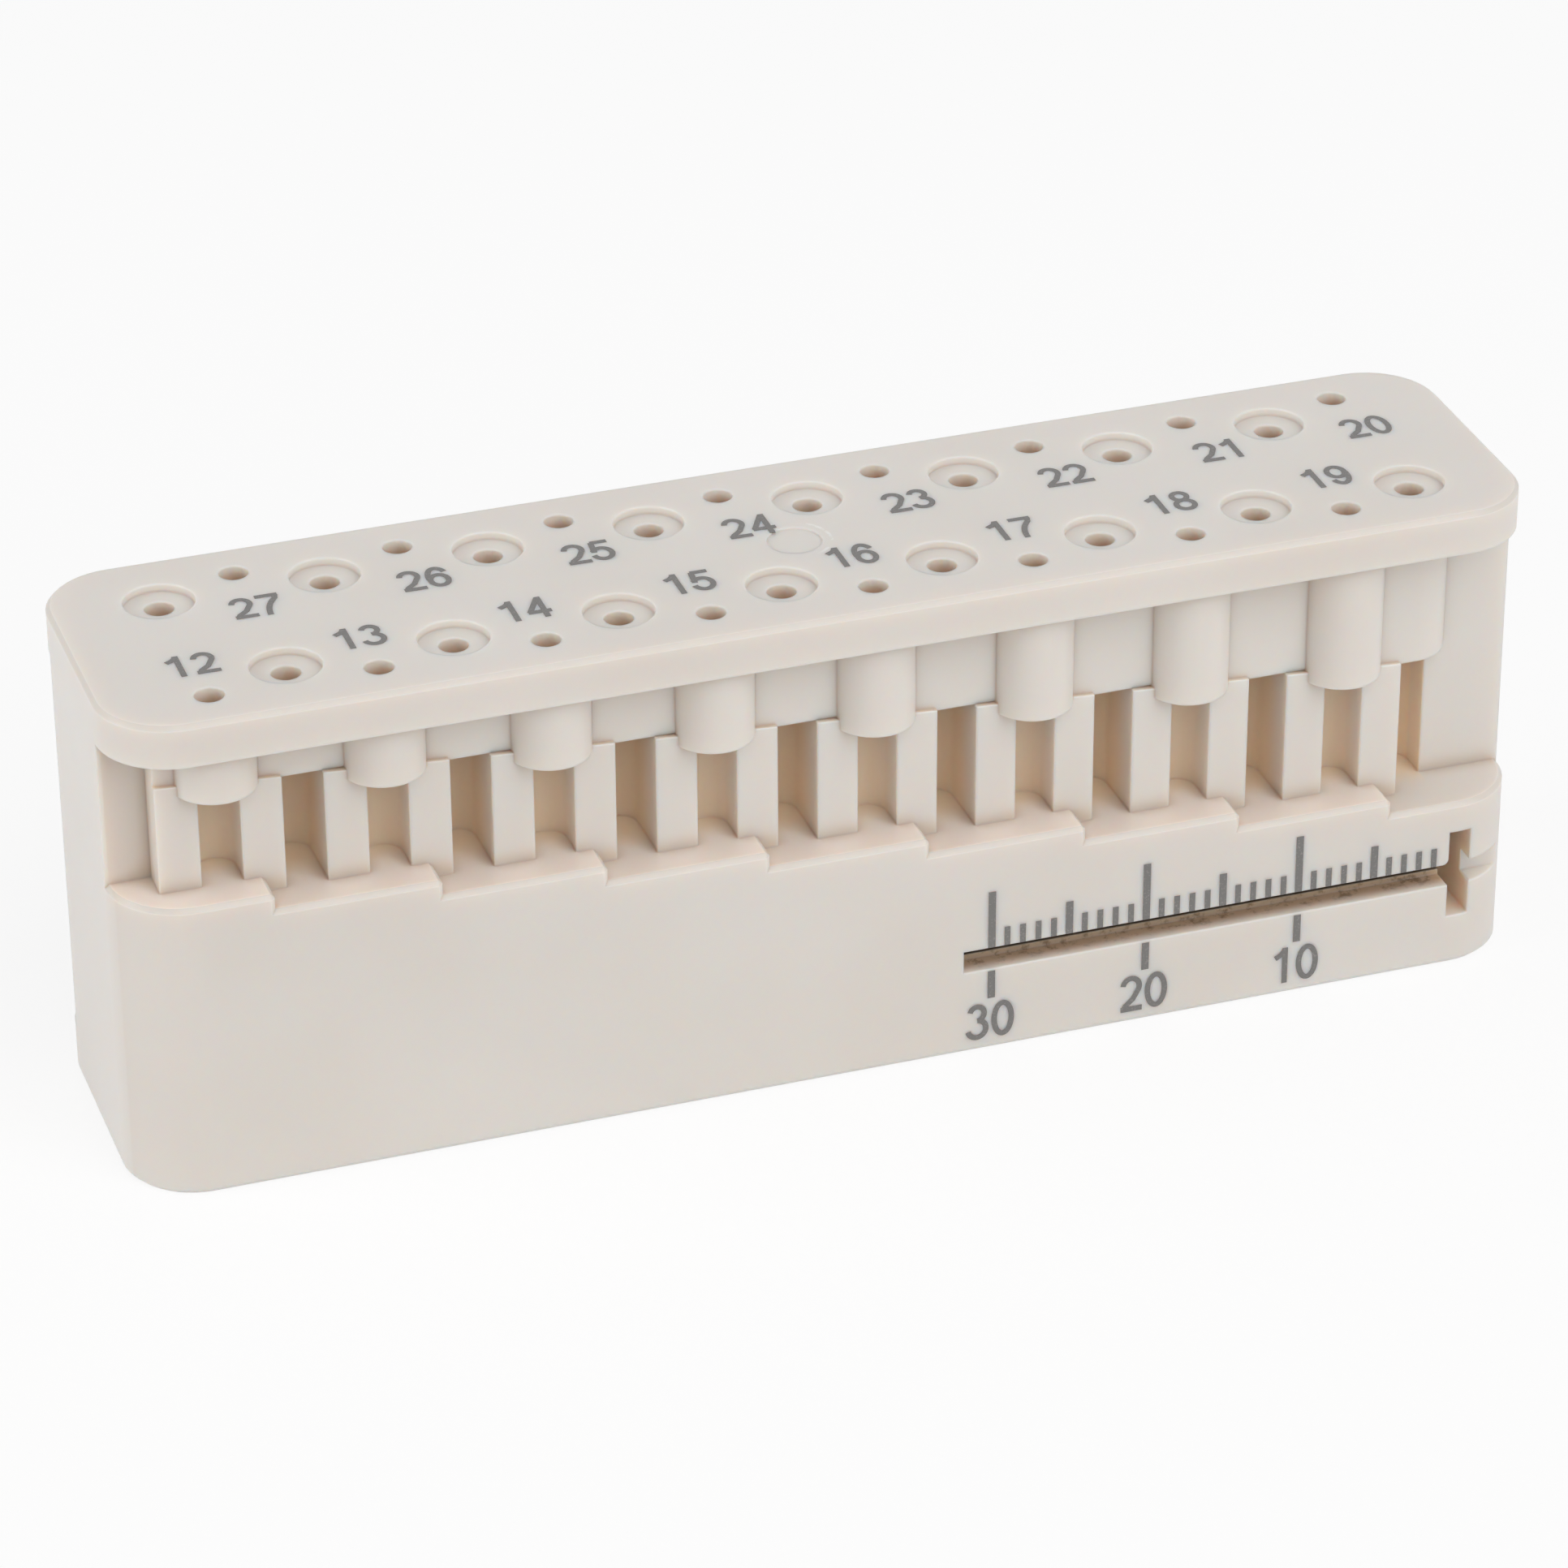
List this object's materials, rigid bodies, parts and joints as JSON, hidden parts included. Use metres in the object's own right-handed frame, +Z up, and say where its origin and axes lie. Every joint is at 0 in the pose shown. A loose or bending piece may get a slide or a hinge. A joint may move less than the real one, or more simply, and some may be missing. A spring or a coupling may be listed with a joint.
{
  "type": "endodontic measuring block",
  "caption": "One-piece moulded block with stepped ledges under rows of guide holes, and a ruled groove with a stop slot, for setting the working length of root canal files.",
  "frame": {"origin": "middle of the flat underside", "axes": "+X along the block, towards the end that the stop slot is near; -Y out of the face with the scale; +Z up, out of the face with the holes"},
  "size_m": [0.088, 0.0204, 0.0314],
  "materials": {
    "body": "smooth moulded ivory plastic",
    "ink": "grey printing ink"
  },
  "bodies": {
    "root": {"measuring_block": "body"}
  },
  "joints": []
}
